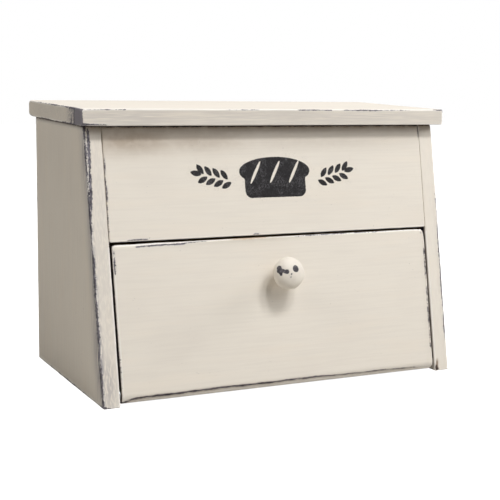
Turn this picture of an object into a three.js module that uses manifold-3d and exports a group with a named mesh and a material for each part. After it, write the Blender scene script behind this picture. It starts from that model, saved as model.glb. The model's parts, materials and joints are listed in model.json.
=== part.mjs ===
// A slant-front wooden bread box with a drop-down door.
//
// Two board sides, cut to a slope along their front edges, hold a bottom, a back and a fixed upper front
// panel between them, and a wider top board is nailed down over them. The door fills the front below the
// upper panel. It turns on two steel pins near its rounded bottom edge, leans back against a stop rail when
// it is shut, and drops forward until its turned knob meets the counter.
//
// Millimetres, +X to the right, +Y to the back, +Z up. The origin is on the underside, in the middle of the
// footprint.

import * as THREE from "three";
import { mergeVertices } from "three/addons/utils/BufferGeometryUtils.js";
import Module from "manifold-3d";

const wasm = await Module();
wasm.setup();

// ---- Driving dimensions ----

// The case.
const caseWidth = 432; // over the two sides
const caseHeight = 288; // from the counter to the underside of the top board
const depthAtBottom = 235; // of a side, along its bottom edge
const depthAtTop = 174; // of a side, along its top edge
const sideThickness = 19;
const bottomThickness = 19;
const backThickness = 19;
const upperPanelThickness = 19;
const topThickness = 18;
const topOverhangSide = 7;
const topOverhangFront = 13;
const topOverhangBack = 6;
const boardEase = 1.2; // sanded rounding of every board edge
const glueGap = 0.3; // between boards that are glued and nailed together

// The door and what holds it.
const doorThickness = 19;
const doorTopAt = 170; // from the counter line up the slope of the front
const doorTopGap = 2.4; // between the door and the upper panel
const doorSideGap = 2.4; // between the door and each side
const doorFloorGap = 1.5; // under the door's rounded bottom edge
const doorBackGap = 1.5; // between the door's inner face and the bottom board
const stopRailThickness = 19;
const stopRailHeight = 38;
const stopRailDrop = 11; // how far the rail hangs down behind the door's top edge
const stopRailEndGap = 2; // between the rail's ends and the sides
const pinDiameter = 5;
const pinLength = 40;
const pinSunk = 3; // the pin's outer end is this far under the side's outer face, below filler and paint
const pinClearance = 0.3; // around the pin, in the door and in its washers
const washerDiameter = 12;
const washerThickness = 1.6;

// The knob and its screw.
const knobAt = 128; // the knob's axis, from the counter line up the slope
const knobDiameter = 36;
const knobHeight = 31;
const knobFootDiameter = 19;
const knobFootThickness = 1.6;
const knobNeckDiameter = 14.8; // that the hollow of the neck is drawn towards
const knobNeckAt = 4; // the height that it is drawn towards
const knobFlareDiameter = 20.7; // where the neck's hollow runs out into the head
const knobFlareAt = 9.1; // the height of that ring
const knobFlareLean = 0.64; // of the outline there, in radians from level
const knobHandle = 3.6; // the length of the curves' handles there
const knobWidestAt = 18; // the height of the widest ring
const knobFullness = 0.62; // of the crown: 0.55 is an ellipse, and more is squarer
const knobScrewRelief = 1; // how much deeper the knob's hole is than the screw's grip
const screwDiameter = 4;
const screwGrip = 12; // of the shank, inside the knob
const screwHeadDiameter = 8;
const screwHeadHeight = 2.5;
const screwWasherDiameter = 10;
const screwWasherThickness = 1;
const screwClearance = 0.3;

// Finish nails, driven below the surface; the filler over each head is counted with the board.
const caseNail = { length: 42, shank: 2, head: 3, headHeight: 1.2 };
const railNail = { length: 28, shank: 1.6, head: 2.6, headHeight: 1 };
const nailPoint = 3; // the length of a nail's tapered point
const nailSunk = 3;
const nailClearance = 0.3;

// Where the nails are spaced.
const bottomNailInset = 40; // the first and last nail into the bottom board, from its front and back edges
const bottomNailCount = 3;
const backNailInset = 45; // the first and last nail into the back, from its top and bottom edges
const backNailCount = 3;
const panelNailInset = 28; // the nails into the upper panel, from its top and bottom edges
const panelNailCount = 2;
const topSideNailInset = 36; // the nails into a side's top edge, from its front and back
const topSideNailCount = 3;
const topBackNailInset = 95; // the nails into the back's top edge, from its ends
const topBackNailCount = 2;
const topPanelNailInset = 95; // the nails into the upper panel's top edge, from its ends
const topPanelNailCount = 2;
const railNailInset = 50; // the nails through the stop rail, from its ends
const railNailCount = 3;

// How finely round pieces are divided.
const nailSides = 8;
const pinSides = 16;
const knobSides = 36;
const weldDistance = 1e-3; // vertices nearer than this are one

// ---- What follows from them ----

const slope = Math.atan((depthAtBottom - depthAtTop) / caseHeight); // the front's lean from upright
const frontY = -depthAtBottom / 2; // the front edge of a side, at the counter
const backY = depthAtBottom / 2;
const halfInside = caseWidth / 2 - sideThickness;
const upperPanelFrom = doorTopAt + doorTopGap; // the upper panel's bottom edge, up the slope
const doorHalfWidth = halfInside - doorSideGap;
const doorInnerFace = upperPanelThickness; // in from the front, level with the panel that carries the stop rail
const doorOuterFace = doorInnerFace - doorThickness;
const doorEdgeRadius = doorThickness / 2; // the bottom edge is a half round about the pins
const pinDepthIn = doorInnerFace - doorEdgeRadius; // of the pins' axis, in from the front
const pinHeight = doorFloorGap + doorEdgeRadius; // of the same axis, over the counter

// A point of the sloping front, in by depthIn from its face and upSlope along it, as [y, z] in the box's frame.
function frontPoint(depthIn, upSlope) {
  return [
    frontY + depthIn * Math.cos(slope) + upSlope * Math.sin(slope),
    upSlope * Math.cos(slope) - depthIn * Math.sin(slope),
  ];
}

// How far up the slope a line at depthIn from the face reaches a given height over the counter.
function upSlopeAtHeight(depthIn, height) {
  return (height + depthIn * Math.sin(slope)) / Math.cos(slope);
}

const pinUpSlope = upSlopeAtHeight(pinDepthIn, pinHeight);

// ---- Materials ----

const paintedPine = () => new THREE.MeshStandardMaterial({ color: 0xe1d8cb, roughness: 0.7, metalness: 0 });
const barePine = () => new THREE.MeshStandardMaterial({ color: 0xd6b083, roughness: 0.75, metalness: 0 });
const steel = () => new THREE.MeshStandardMaterial({ color: 0xa8a8aa, roughness: 0.35, metalness: 1 });

// ---- Shapes ----

// Each corner of an outline is rounded from this far off, which is far enough that the bevel at a board's
// ends, as deep as the ease, never closes the rounding up.
const cornerRun = (ease) => 1.6 * ease;

// A closed outline through [a, b] points, with each corner rounded for an edge's ease.
function easedOutline(points, ease) {
  const run = cornerRun(ease);
  const corners = points.map(([a, b]) => new THREE.Vector2(a, b));
  const shape = new THREE.Shape();
  corners.forEach((corner, i) => {
    const before = corners[(i + corners.length - 1) % corners.length];
    const after = corners[(i + 1) % corners.length];
    const start = corner.clone().add(before.clone().sub(corner).setLength(run));
    const end = corner.clone().add(after.clone().sub(corner).setLength(run));
    if (i === 0) shape.moveTo(start.x, start.y);
    else shape.lineTo(start.x, start.y);
    shape.quadraticCurveTo(corner.x, corner.y, end.x, end.y);
  });
  shape.closePath();
  return shape;
}

// A board whose outline lies in the Y-Z plane, extruded along X and centred on X = 0, with its ends eased too.
function boardGeometry(outline, lengthInX, ease) {
  const geometry = new THREE.ExtrudeGeometry(outline, {
    depth: lengthInX - 2 * ease,
    bevelEnabled: true,
    bevelThickness: ease,
    bevelSize: ease,
    bevelOffset: -ease,
    bevelSegments: 2,
    curveSegments: 2,
  });
  geometry.translate(0, 0, ease - lengthInX / 2);
  const toBox = new THREE.Matrix4().makeBasis(
    new THREE.Vector3(0, 1, 0),
    new THREE.Vector3(0, 0, 1),
    new THREE.Vector3(1, 0, 0),
  );
  return geometry.applyMatrix4(toBox);
}

// A rectangle from [a0, b0] to [a1, b1], as the outline of a board.
function rectangle(a0, b0, a1, b1) {
  return [
    [a0, b0],
    [a1, b0],
    [a1, b1],
    [a0, b1],
  ];
}

// A turned solid about the Z axis, from [radius, z] points that run from the lower pole to the upper one.
function turned(points, sides) {
  const geometry = new THREE.LatheGeometry(
    points.map(([r, z]) => new THREE.Vector2(r, z)),
    sides,
  );
  return geometry.rotateX(Math.PI / 2);
}

// A headed nail or screw on the Z axis, head up, with the head's top at z = 0. grow widens it all round,
// which makes the hole that it sits in.
function fastenerGeometry({ length, shank, head, headHeight, point }, grow, sides) {
  return turned(
    [
      [0, -length - grow],
      [shank / 4 + grow, -length - grow],
      [shank / 2 + grow, -length + point],
      [shank / 2 + grow, -headHeight - grow],
      [head / 2 + grow, -headHeight - grow],
      [head / 2 + grow, grow],
      [0, grow],
    ],
    sides,
  );
}

// A plain pin on the Z axis, with its outer end at z = 0.
function pinGeometry(diameter, length, grow, sides) {
  const radius = diameter / 2 + grow;
  return turned(
    [
      [0, -length - grow],
      [radius, -length - grow],
      [radius, grow],
      [0, grow],
    ],
    sides,
  );
}

// A flat washer on the Z axis, standing on z = 0.
function washerGeometry(outerDiameter, holeDiameter, thickness, sides) {
  return turned(
    [
      [holeDiameter / 2, 0],
      [outerDiameter / 2, 0],
      [outerDiameter / 2, thickness],
      [holeDiameter / 2, thickness],
      [holeDiameter / 2, 0],
    ],
    sides,
  );
}

// ---- Boolean cuts ----

// The same surface with its shared vertices merged.
function weld(geometry) {
  const bare = new THREE.BufferGeometry();
  bare.setAttribute("position", geometry.getAttribute("position").clone());
  if (geometry.index) bare.setIndex(geometry.index.clone());
  return mergeVertices(bare, weldDistance);
}

function toManifold(welded) {
  const mesh = new wasm.Mesh({
    numProp: 3,
    vertProperties: welded.getAttribute("position").array,
    triVerts: new Uint32Array(welded.index.array),
  });
  return new wasm.Manifold(mesh);
}

function toGeometry(manifold) {
  const { vertProperties, triVerts } = manifold.getMesh();
  const geometry = new THREE.BufferGeometry();
  geometry.setAttribute("position", new THREE.BufferAttribute(vertProperties, 3));
  geometry.setIndex(new THREE.BufferAttribute(triVerts, 1));
  geometry.computeVertexNormals();
  return geometry;
}

// ---- The scene graph ----

const box = new THREE.Group();
const front = new THREE.Group(); // origin on the counter line, +Z up the slope, +Y in through the front
front.position.set(0, frontY, 0);
front.rotation.x = -slope;
box.add(front);

function addMesh(parent, name, geometry, material) {
  const mesh = new THREE.Mesh(geometry, material);
  mesh.name = name;
  parent.add(mesh);
  return mesh;
}

// The boards of the case.

const underTop = caseHeight - glueGap;

function makeSide(name, centreX) {
  const outline = [
    [frontY, 0],
    [backY, 0],
    [backY, underTop],
    [frontPoint(0, upSlopeAtHeight(0, underTop))[0], underTop],
  ];
  const geometry = boardGeometry(easedOutline(outline, boardEase), sideThickness, boardEase);
  const side = addMesh(box, name, geometry, paintedPine());
  side.position.x = centreX;
  return side;
}

function makeBack() {
  const outline = rectangle(backY - backThickness, 0, backY, underTop);
  const geometry = boardGeometry(easedOutline(outline, boardEase), 2 * (halfInside - glueGap), boardEase);
  return addMesh(box, "back_board", geometry, paintedPine());
}

// The bottom board starts just behind the door's inner face, where that face passes the board's top.
const bottomMeetsDoorAt = upSlopeAtHeight(doorInnerFace, bottomThickness);
const bottomFrontY = frontPoint(doorInnerFace, bottomMeetsDoorAt)[0] + doorBackGap;
const bottomBackY = backY - backThickness - glueGap;

function makeBottom() {
  const outline = rectangle(bottomFrontY, 0, bottomBackY, bottomThickness);
  const geometry = boardGeometry(easedOutline(outline, boardEase), 2 * (halfInside - glueGap), boardEase);
  return addMesh(box, "bottom_board", geometry, barePine());
}

const topFrontY = backY - depthAtTop - topOverhangFront;
const topBackY = backY + topOverhangBack;

function makeTop() {
  const outline = rectangle(topFrontY, caseHeight, topBackY, caseHeight + topThickness);
  const length = caseWidth + 2 * topOverhangSide;
  const geometry = boardGeometry(easedOutline(outline, boardEase), length, boardEase);
  return addMesh(box, "top_board", geometry, paintedPine());
}

// The upper panel's top edge is cut level, to meet the top board.
const upperPanelTop = (depthIn) => upSlopeAtHeight(depthIn, underTop);

function makeUpperPanel() {
  const outline = [
    [0, upperPanelFrom],
    [upperPanelThickness, upperPanelFrom],
    [upperPanelThickness, upperPanelTop(upperPanelThickness)],
    [0, upperPanelTop(0)],
  ];
  const geometry = boardGeometry(easedOutline(outline, boardEase), 2 * (halfInside - glueGap), boardEase);
  return addMesh(front, "upper_front_panel", geometry, paintedPine());
}

const railFrontY = upperPanelThickness + glueGap;
const railBackY = railFrontY + stopRailThickness;
const railBottom = doorTopAt - stopRailDrop;
const railTop = railBottom + stopRailHeight;
const railHalfLength = halfInside - stopRailEndGap;

function makeStopRail() {
  const outline = rectangle(railFrontY, railBottom, railBackY, railTop);
  const geometry = boardGeometry(easedOutline(outline, boardEase), 2 * railHalfLength, boardEase);
  return addMesh(front, "door_stop_rail", geometry, barePine());
}

// The door, with its knob, knob screw and pivot pins.

function makeDoor() {
  const run = cornerRun(boardEase);
  const shape = new THREE.Shape();
  shape.moveTo(doorInnerFace, pinUpSlope);
  shape.lineTo(doorInnerFace, doorTopAt - run);
  shape.quadraticCurveTo(doorInnerFace, doorTopAt, doorInnerFace - run, doorTopAt);
  shape.lineTo(doorOuterFace + run, doorTopAt);
  shape.quadraticCurveTo(doorOuterFace, doorTopAt, doorOuterFace, doorTopAt - run);
  shape.lineTo(doorOuterFace, pinUpSlope);
  const roundSteps = 16;
  for (let i = 1; i < roundSteps; i++) {
    const angle = Math.PI + (Math.PI * i) / roundSteps;
    const y = pinDepthIn + doorEdgeRadius * Math.cos(angle);
    shape.lineTo(y, pinUpSlope + doorEdgeRadius * Math.sin(angle));
  }
  shape.closePath();
  const geometry = boardGeometry(shape, 2 * doorHalfWidth, boardEase);
  return addMesh(front, "drop_door", geometry, paintedPine());
}

// The knob's outline is a small foot, a hollow neck and a full round head: three curves that join smoothly.
function knobProfile() {
  const hole = screwDiameter / 2 + screwClearance;
  const holeDepth = screwGrip + screwClearance + knobScrewRelief;
  const foot = new THREE.Vector2(knobFootDiameter / 2, knobFootThickness);
  const neck = new THREE.Vector2(knobNeckDiameter / 2, knobNeckAt);
  const flare = new THREE.Vector2(knobFlareDiameter / 2, knobFlareAt);
  const widest = new THREE.Vector2(knobDiameter / 2, knobWidestAt);
  const crown = new THREE.Vector2(0, knobHeight);
  const flareRun = new THREE.Vector2(Math.cos(knobFlareLean), Math.sin(knobFlareLean));
  const beforeFlare = flare.clone().addScaledVector(flareRun, -knobHandle);
  const afterFlare = flare.clone().addScaledVector(flareRun, knobHandle);
  const belowWidest = new THREE.Vector2(widest.x, THREE.MathUtils.lerp(widest.y, flare.y, 0.5));
  const aboveWidest = new THREE.Vector2(widest.x, THREE.MathUtils.lerp(widest.y, crown.y, knobFullness));
  const besideCrown = new THREE.Vector2(widest.x * knobFullness, crown.y);
  const curves = [
    [new THREE.CubicBezierCurve(foot, neck, beforeFlare, flare), 5],
    [new THREE.CubicBezierCurve(flare, afterFlare, belowWidest, widest), 5],
    [new THREE.CubicBezierCurve(widest, aboveWidest, besideCrown, crown), 10],
  ];
  const outline = curves.flatMap(([curve, steps]) => curve.getPoints(steps).slice(1));
  return [
    [0, holeDepth],
    [hole, holeDepth],
    [hole, 0],
    [foot.x, 0],
    [foot.x, foot.y],
    ...outline.map((point) => [point.x, point.y]),
  ];
}

// The knob stands out of the door's face, so its axis is turned to the front group's -Y.
function makeKnob() {
  const knob = addMesh(front, "door_knob", turned(knobProfile(), knobSides), paintedPine());
  knob.position.set(0, doorOuterFace - glueGap, knobAt);
  knob.rotation.x = Math.PI / 2;
  return knob;
}

const screwSeatY = doorInnerFace + screwWasherThickness + 2 * glueGap; // the underside of the screw's head
const knobScrew = {
  length: screwSeatY - doorOuterFace + glueGap + screwGrip + screwHeadHeight,
  shank: screwDiameter,
  head: screwHeadDiameter,
  headHeight: screwHeadHeight,
  point: 1,
};

function makeKnobScrew() {
  const screw = addMesh(front, "knob_screw", fastenerGeometry(knobScrew, 0, pinSides), steel());
  screw.position.set(0, screwSeatY + screwHeadHeight, knobAt);
  screw.rotation.x = -Math.PI / 2;
  return screw;
}

function makeScrewWasher() {
  const hole = screwDiameter + 2 * screwClearance;
  const geometry = washerGeometry(screwWasherDiameter, hole, screwWasherThickness, 2 * pinSides);
  const washer = addMesh(front, "knob_screw_washer", geometry, steel());
  washer.position.set(0, doorInnerFace + glueGap, knobAt);
  washer.rotation.x = -Math.PI / 2;
  return washer;
}

// One pivot pin and its spacing washer, at the right for sign 1 and at the left for sign -1.
function makePivot(hand, sign) {
  const pin = addMesh(front, `pivot_pin_${hand}`, pinGeometry(pinDiameter, pinLength, 0, pinSides), steel());
  pin.position.set(sign * (caseWidth / 2 - pinSunk), pinDepthIn, pinUpSlope);
  pin.rotation.y = (sign * Math.PI) / 2;
  const hole = pinDiameter + 2 * pinClearance;
  const geometry = washerGeometry(washerDiameter, hole, washerThickness, pinSides);
  const washer = addMesh(front, `pivot_washer_${hand}`, geometry, steel());
  washer.position.set(sign * (halfInside - doorSideGap / 2), pinDepthIn, pinUpSlope);
  washer.position.x -= (sign * washerThickness) / 2;
  washer.rotation.y = (sign * Math.PI) / 2;
  return pin;
}

// ---- Nails ----

// Evenly spaced values from first to last.
function spaced(first, last, count) {
  return Array.from({ length: count }, (_, i) => first + ((last - first) * i) / (count - 1));
}

// A nail whose head is sunk below the surface point where it was driven. out points back out of the wood.
function makeNail(parent, name, kind, surface, out) {
  const nail = addMesh(parent, name, fastenerGeometry({ ...kind, point: nailPoint }, 0, nailSides), steel());
  const outward = new THREE.Vector3(...out);
  nail.position.set(...surface).addScaledVector(outward, -nailSunk);
  nail.quaternion.setFromUnitVectors(new THREE.Vector3(0, 0, 1), outward);
  return nail;
}

// A nail's pocket is the nail grown all round.
const nailPocket = (kind) => fastenerGeometry({ ...kind, point: nailPoint }, nailClearance, nailSides);

// ---- Assembly ----

const bottom = makeBottom();
const back = makeBack();
const top = makeTop();
const upperPanel = makeUpperPanel();
const stopRail = makeStopRail();
const door = makeDoor();
const knobScrewMesh = makeKnobScrew();
makeKnob();
makeScrewWasher();

// Each hole is a fastener, the boards that it passes through, and the geometry that it takes out of them.
const holes = [];

function nailThrough(boards, kind, ...place) {
  const nail = makeNail(...place);
  holes.push({ fastener: nail, boards, pocket: nailPocket(kind) });
}

for (const [hand, sign] of [
  ["left", -1],
  ["right", 1],
]) {
  const side = makeSide(`${hand}_side`, sign * (caseWidth / 2 - sideThickness / 2));
  const outerX = (sign * caseWidth) / 2;
  const edgeX = sign * (caseWidth / 2 - sideThickness / 2);

  const bottomNailY = spaced(bottomFrontY + bottomNailInset, bottomBackY - bottomNailInset, bottomNailCount);
  bottomNailY.forEach((y, i) => {
    const at = [outerX, y, bottomThickness / 2];
    nailThrough([side, bottom], caseNail, box, `bottom_nail_${hand}_${i + 1}`, caseNail, at, [sign, 0, 0]);
  });

  const backNailZ = spaced(backNailInset, caseHeight - backNailInset, backNailCount);
  backNailZ.forEach((z, i) => {
    const at = [outerX, backY - backThickness / 2, z];
    nailThrough([side, back], caseNail, box, `back_nail_${hand}_${i + 1}`, caseNail, at, [sign, 0, 0]);
  });

  const panelNailZ = spaced(upperPanelFrom + panelNailInset, upperPanelTop(0) - panelNailInset, panelNailCount);
  panelNailZ.forEach((z, i) => {
    const at = [outerX, upperPanelThickness / 2, z];
    nailThrough([side, upperPanel], caseNail, front, `panel_nail_${hand}_${i + 1}`, caseNail, at, [sign, 0, 0]);
  });

  const topNailY = spaced(backY - depthAtTop + topSideNailInset, backY - topSideNailInset, topSideNailCount);
  topNailY.forEach((y, i) => {
    const at = [edgeX, y, caseHeight + topThickness];
    nailThrough([top, side], caseNail, box, `top_nail_${hand}_${i + 1}`, caseNail, at, [0, 0, 1]);
  });

  const pin = makePivot(hand, sign);
  const heldPocket = pinGeometry(pinDiameter, pinLength, glueGap, pinSides);
  const runningPocket = pinGeometry(pinDiameter, pinLength, pinClearance, pinSides);
  holes.push({ fastener: pin, boards: [side], pocket: heldPocket });
  holes.push({ fastener: pin, boards: [door], pocket: runningPocket });
}

spaced(-halfInside + topBackNailInset, halfInside - topBackNailInset, topBackNailCount).forEach((x, i) => {
  const at = [x, backY - backThickness / 2, caseHeight + topThickness];
  nailThrough([top, back], caseNail, box, `top_nail_back_${i + 1}`, caseNail, at, [0, 0, 1]);
});

// These two lean with the panel, so that they stay inside it.
spaced(-halfInside + topPanelNailInset, halfInside - topPanelNailInset, topPanelNailCount).forEach((x, i) => {
  const depthIn = upperPanelThickness / 2;
  const at = [x, depthIn, upSlopeAtHeight(depthIn, caseHeight + topThickness)];
  nailThrough([top, upperPanel], caseNail, front, `top_nail_front_${i + 1}`, caseNail, at, [0, 0, 1]);
});

spaced(-railHalfLength + railNailInset, railHalfLength - railNailInset, railNailCount).forEach((x, i) => {
  const z = (upperPanelFrom + railTop) / 2;
  const at = [x, railBackY, z];
  nailThrough([stopRail, upperPanel], railNail, front, `rail_nail_${i + 1}`, railNail, at, [0, 1, 0]);
});

holes.push({
  fastener: knobScrewMesh,
  boards: [door],
  pocket: pinGeometry(screwDiameter, knobScrew.length + screwHeadHeight, screwClearance, pinSides),
});

// Every hole is cut in its board's own frame.
box.updateMatrixWorld(true);
const cutters = new Map();
for (const { fastener, boards, pocket } of holes) {
  for (const board of boards) {
    const toBoard = board.matrixWorld.clone().invert().multiply(fastener.matrixWorld);
    const cutter = toManifold(weld(pocket).applyMatrix4(toBoard));
    cutters.set(board, [...(cutters.get(board) ?? []), cutter]);
  }
}
for (const [board, tools] of cutters) {
  const cut = tools.reduce((solid, tool) => solid.subtract(tool), toManifold(weld(board.geometry)));
  board.geometry = toGeometry(cut);
}

export default box;
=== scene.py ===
import json
import math

import bpy
import numpy as np
from mathutils import Matrix, Vector


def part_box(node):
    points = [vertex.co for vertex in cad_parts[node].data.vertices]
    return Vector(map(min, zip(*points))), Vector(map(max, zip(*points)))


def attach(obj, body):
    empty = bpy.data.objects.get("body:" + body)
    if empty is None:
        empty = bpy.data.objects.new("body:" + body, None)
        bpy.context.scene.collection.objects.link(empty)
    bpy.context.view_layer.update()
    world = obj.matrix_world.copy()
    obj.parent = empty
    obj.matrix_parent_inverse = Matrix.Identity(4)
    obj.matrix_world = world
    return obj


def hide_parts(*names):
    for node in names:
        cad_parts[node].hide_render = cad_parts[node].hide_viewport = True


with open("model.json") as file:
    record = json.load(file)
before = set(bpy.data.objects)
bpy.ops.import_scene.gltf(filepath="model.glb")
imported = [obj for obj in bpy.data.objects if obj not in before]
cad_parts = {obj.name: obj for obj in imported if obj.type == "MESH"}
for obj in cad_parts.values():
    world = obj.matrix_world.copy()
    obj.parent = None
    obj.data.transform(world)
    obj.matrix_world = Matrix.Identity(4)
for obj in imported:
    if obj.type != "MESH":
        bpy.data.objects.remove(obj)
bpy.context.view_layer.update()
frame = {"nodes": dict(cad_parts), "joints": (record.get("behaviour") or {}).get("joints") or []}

# A bread box in planed pine: charcoal undercoat, off-white chalk paint over it, and every arris sanded back
# by hand. Lengths in the dictionaries are millimetres; Blender's own units are metres.

mm = 0.001

lean = {"run": 61.0, "rise": 288.0}   # the front leans back this much over the height of a side
frontLean = math.atan2(lean["run"], lean["rise"])
leanCos = math.cos(frontLean)
leanSin = math.sin(frontLean)
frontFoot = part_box("left_side")[0].y  # where the front meets the counter

# values that stand for a point well outside any wear, and well inside the paint, in mm
noWear = -9.0
wellPainted = 25.0
squarely = 0.7   # how squarely a point has to face a way to count as on that side of a board


def toFront(points):
    # (x, y, z) to (x, depth in from the sloping front, distance up it): a turn about the foot of the front
    y = points[:, 1] - frontFoot
    z = points[:, 2]
    return np.column_stack([points[:, 0], y * leanCos - z * leanSin, y * leanSin + z * leanCos])


def fromFront(points):
    # the same turn, back again
    depth = points[:, 1]
    up = points[:, 2]
    y = frontFoot + depth * leanCos + up * leanSin
    return np.column_stack([points[:, 0], y, up * leanCos - depth * leanSin])


def boxMm(node, leaning=False):
    # lowest and highest corner of a node in millimetres, measured along the sloping front if it is leaning
    mesh = frame["nodes"][node].data
    points = np.empty(len(mesh.vertices) * 3, np.float32)
    mesh.vertices.foreach_get("co", points)
    points = points.reshape(-1, 3).astype(float)
    points = toFront(points) if leaning else points
    return points.min(0) / mm, points.max(0) / mm


def smoothStep(value, low, high):
    # eases from 0 at low to 1 at high: t^2 * (3 - 2t)
    share = np.clip((value - low) / (high - low), 0.0, 1.0)
    return share * share * (3.0 - 2.0 * share)


def ripple(points, lengthMm, seed):
    # a smooth wobble from -1 to 1: the mean of seven sine waves of about one length, in random directions
    random = np.random.default_rng(seed)
    ways = random.normal(size=(7, 3))
    ways /= np.linalg.norm(ways, axis=1)[:, None]
    turns = 2.0 * math.pi / (lengthMm * random.uniform(0.6, 1.5, 7))
    shifts = random.uniform(0.0, 2.0 * math.pi, 7)
    return np.sin((points @ ways.T) * turns + shifts).mean(1) * 1.6


# a board's grid: the widest arris it has to round, its rows over one, and the steps in between
boardGrid = {"roundMax": 4.6, "arrisRows": 8, "step": 5.5, "thicknessStep": 2.2, "closest": 0.04}


def gridLines(low, high, step, dense=()):
    # rows of a board's grid from low to high: close together over the rounded arrises, where each row is
    # roundMax * (1 - tan(angle)), an even step between, and its own step in each (from, to, step) of dense
    roundMax = boardGrid["roundMax"]
    edge = roundMax * (1.0 - np.tan(np.linspace(math.pi / 4, 0.0, boardGrid["arrisRows"])))
    middle = np.linspace(low + roundMax, high - roundMax, max(2, round((high - low) / step)))
    rows = [low + edge, middle, high - edge]
    for start, end, fine in dense:
        rows = [part[(part <= start) | (part >= end)] for part in rows]
        rows.append(np.arange(start, end + fine / 2, fine))
    rows = np.unique(np.round(np.concatenate(rows), 4))
    keep = np.append(np.diff(rows) > boardGrid["closest"], True)
    keep[0] = True
    rows = rows[keep]
    rows[0], rows[-1] = low, high
    return rows


def blockSkin(rowsA, rowsB, rowsC):
    # every crossing of three sets of rows that lies on the skin of the block, and the quads between them
    shape = (len(rowsA), len(rowsB), len(rowsC))
    onSkin = np.zeros(shape, bool)
    onSkin[[0, -1]] = True
    onSkin[:, [0, -1]] = True
    onSkin[:, :, [0, -1]] = True
    number = onSkin.ravel().cumsum().reshape(shape) - 1
    i, j, k = np.nonzero(onSkin)
    points = np.column_stack([rowsA[i], rowsB[j], rowsC[k]])
    quads = []
    for axis in range(3):
        for end in (0, shape[axis] - 1):
            sheet = number.take(end, axis=axis)
            quad = np.stack([sheet[:-1, :-1], sheet[1:, :-1], sheet[1:, 1:], sheet[:-1, 1:]], -1)
            quad = quad.reshape(-1, 4)
            inwards = (end == 0) != (axis == 1)
            quads.append(quad[:, ::-1] if inwards else quad)
    return points, np.concatenate(quads)


def spotField(points, spots, base):
    # the largest of base and of size * exp(-distance^2), where each spot has its own reach along each axis
    field = np.full(len(points), float(base))
    for centre, reach, size in spots:
        away = (points - np.array(centre, float)) / np.array(reach, float)
        field = np.maximum(field, base + (size - base) * np.exp(-(away ** 2).sum(1)))
    return field


def cornerGap(nearer, farther, corner=4.5):
    # distance in from the nearest arris, as if each face had round corners:
    # corner - |(corner - nearer, corner - farther)|
    a = np.maximum(corner - nearer, 0.0)
    b = np.maximum(corner - farther, 0.0)
    return np.where(b > 0, corner - np.hypot(a, b), nearer)


def strokeField(points, strokes):
    # how far each point is inside any of a list of worn streaks: straight runs from (a1, b1) to (a2, b2)
    # that bow sideways by bow * 4t(1 - t) and narrow towards both ends
    field = np.full(len(points), noWear)
    for a1, b1, a2, b2, halfWide, bow in strokes:
        runA, runB = a2 - a1, b2 - b1
        length = math.hypot(runA, runB)
        t = np.clip(((points[:, 0] - a1) * runA + (points[:, 1] - b1) * runB) / length ** 2, 0.0, 1.0)
        arc = 4.0 * t * (1.0 - t)
        nearA = a1 + runA * t - runB / length * bow * arc
        nearB = b1 + runB * t + runA / length * bow * arc
        away = np.hypot(points[:, 0] - nearA, points[:, 1] - nearB)
        field = np.maximum(field, halfWide * (0.25 + 0.75 * arc ** 0.4) - away)
    return field


# hand planing: how much the radius of an arris wanders, and the shallow hollows it leaves in the faces
planing = {"wander": 0.22, "wanderMm": 34.0, "hollow": 0.07, "hollowMm": 90.0, "hollowSeed": 50}


def roundedBoard(low, high, rows, ease, easeSpots, seed):
    # a block whose arrises are rolled by a ball: each point is pulled to the nearest place for the ball's
    # centre, then back out by its radius, which wanders a little and grows where the board is knocked
    points, quads = blockSkin(*rows)
    radius = spotField(points, easeSpots, ease)
    radius = radius * (1.0 + planing["wander"] * ripple(points, planing["wanderMm"], seed))
    radius = np.minimum(radius, (high - low).min() / 2 - 0.05)[:, None]
    centre = np.clip(points, low + radius, high - radius)
    out = points - centre
    out /= np.linalg.norm(out, axis=1)[:, None]
    hollow = planing["hollow"] * (1.0 + ripple(points, planing["hollowMm"], seed + planing["hollowSeed"]))
    inner = centre + out * radius - out * np.maximum(hollow[:, None], 0.0)
    faceGaps = np.sort(np.minimum(points - low, high - points), axis=1)
    return {"flat": points, "solid": inner, "out": out, "quads": quads,
            "edgeGap": cornerGap(faceGaps[:, 1], faceGaps[:, 2])}


def makePiece(name, points, faces, material, body, replaced, fields=None):
    # a mesh from arrays, in metres, with its named values per point, riding on a body of the frame
    mesh = bpy.data.meshes.new(name)
    mesh.from_pydata(points, [], faces)
    mesh.shade_smooth()
    for field, values in (fields or {}).items():
        attribute = mesh.attributes.new(field, "FLOAT", "POINT")
        attribute.data.foreach_set("value", np.asarray(values, np.float32))
    mesh.materials.append(material)
    piece = bpy.data.objects.new(name, mesh)
    bpy.context.scene.collection.objects.link(piece)
    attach(piece, body)
    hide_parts(*replaced)
    return piece


def linearColour(sheetHex):
    # sRGB hex to the linear red, green, blue and alpha that the shaders want
    channels = np.array([int(sheetHex[i:i + 2], 16) for i in (1, 3, 5)]) / 255.0
    linear = np.where(channels <= 0.04045, channels / 12.92, ((channels + 0.055) / 1.055) ** 2.4)
    return (*linear.tolist(), 1.0)


def addNode(tree, kind, inputs=None, output=0, **settings):
    # one node with its settings, handing back one of its outputs; an input is a value, or another node's
    # output, which is linked
    node = tree.nodes.new(f"ShaderNode{kind}")
    for name, value in settings.items():
        setattr(node, name, value)
    for socket, value in (inputs or {}).items():
        if isinstance(value, bpy.types.NodeSocket):
            tree.links.new(value, node.inputs[socket])
        else:
            node.inputs[socket].default_value = value
    return node.outputs[output] if node.outputs else node


# settings that many nodes share: an eased Map Range, and a Mix of two colours
eased = {"interpolation_type": "SMOOTHSTEP"}
inColour = {"output": 2, "data_type": "RGBA"}


def newMaterial(name):
    # a material with an empty tree
    material = bpy.data.materials.new(name)
    material.use_nodes = True
    material.node_tree.nodes.clear()
    return material, material.node_tree


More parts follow.
